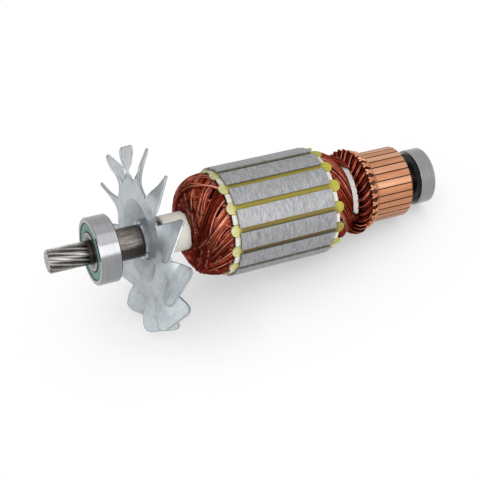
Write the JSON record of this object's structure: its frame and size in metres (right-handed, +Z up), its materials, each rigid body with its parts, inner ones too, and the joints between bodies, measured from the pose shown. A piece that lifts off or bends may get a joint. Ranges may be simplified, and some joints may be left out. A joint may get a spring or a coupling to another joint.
{
  "type": "motor armature",
  "caption": "Wound motor armature with a helical pinion, sealed ball bearings, stamped cooling fan, slotted core with yellow wedges and a copper commutator.",
  "frame": {"origin": "centre of the front bearing, on the shaft axis", "axes": "+Z up from the bench that the armature lies on, +X along the bench from the pinion to the commutator end; the shaft slopes down towards +X by 10.99 degrees, because it rests on two fan blades and the edge of the commutator"},
  "size_m": [0.1984, 0.0888, 0.0874],
  "materials": {
    "shaft_steel": "ground steel, blackened at the pinion root",
    "bearing_steel": "polished bearing steel",
    "ball_steel": "polished balls",
    "cage_steel": "pressed sheet",
    "seal_green": "green rubber seal",
    "seal_dark": "very dark green rubber seal",
    "hub_zinc": "zinc-plated bush",
    "fan_zinc": "zinc-plated stamped sheet",
    "sleeve_cream": "moulded insulation",
    "core_steel": "stacked sheet steel, varnished",
    "insulator_white": "white insulating disc",
    "liner_paper": "slot paper",
    "enamelled_copper": "enamelled copper wire",
    "wedge_yellow": "yellow slot wedge",
    "cord_white": "flat white tie cord",
    "bar_copper": "turned bright copper",
    "hub_moulding": "dark moulding"
  },
  "bodies": {
    "rotor": {"armature_shaft": "shaft_steel", "front_bearing_inner_ring": "bearing_steel", "rear_bearing_inner_ring": "bearing_steel", "fan_hub": "hub_zinc", "cooling_fan": "fan_zinc", "shaft_sleeve": "sleeve_cream", "lamination_stack": "core_steel", "front_end_insulator": "insulator_white", "rear_end_insulator": "insulator_white", "slot_liners": "liner_paper", "slot_windings": "enamelled_copper", "slot_wedges": "wedge_yellow", "drive_end_winding": "enamelled_copper", "commutator_end_winding": "enamelled_copper", "riser_leads": "enamelled_copper", "lashing_cord": "cord_white", "commutator_bars": "bar_copper", "commutator_hub": "hub_moulding"},
    "front_ring": {"front_bearing_outer_ring": "bearing_steel", "front_bearing_front_seal": "seal_green", "front_bearing_rear_seal": "seal_green"},
    "front_rollers": {"front_bearing_cage": "cage_steel", "front_bearing_balls": "ball_steel"},
    "rear_ring": {"rear_bearing_outer_ring": "bearing_steel", "rear_bearing_front_seal": "seal_dark", "rear_bearing_rear_seal": "seal_dark"},
    "rear_rollers": {"rear_bearing_cage": "cage_steel", "rear_bearing_balls": "ball_steel"}
  },
  "joints": [
    {"name": "front_ring_turn", "type": "hinge", "parent": "rotor", "child": "front_ring", "pos_m": [0, 0, 0], "axis": [0.9816, 0, -0.1907], "continuous": true},
    {"name": "front_rollers_turn", "type": "hinge", "parent": "rotor", "child": "front_rollers", "pos_m": [0, 0, 0], "axis": [0.9816, 0, -0.1907], "continuous": true},
    {"name": "rear_ring_turn", "type": "hinge", "parent": "rotor", "child": "rear_ring", "pos_m": [0.1659, 0, -0.03223], "axis": [0.9816, 0, -0.1907], "continuous": true},
    {"name": "rear_rollers_turn", "type": "hinge", "parent": "rotor", "child": "rear_rollers", "pos_m": [0.1659, 0, -0.03223], "axis": [0.9816, 0, -0.1907], "continuous": true}
  ],
  "couplings": [
    {"joint": "front_rollers_turn", "follows": "front_ring_turn", "ratio": 0.6353},
    {"joint": "rear_rollers_turn", "follows": "rear_ring_turn", "ratio": 0.619}
  ]
}
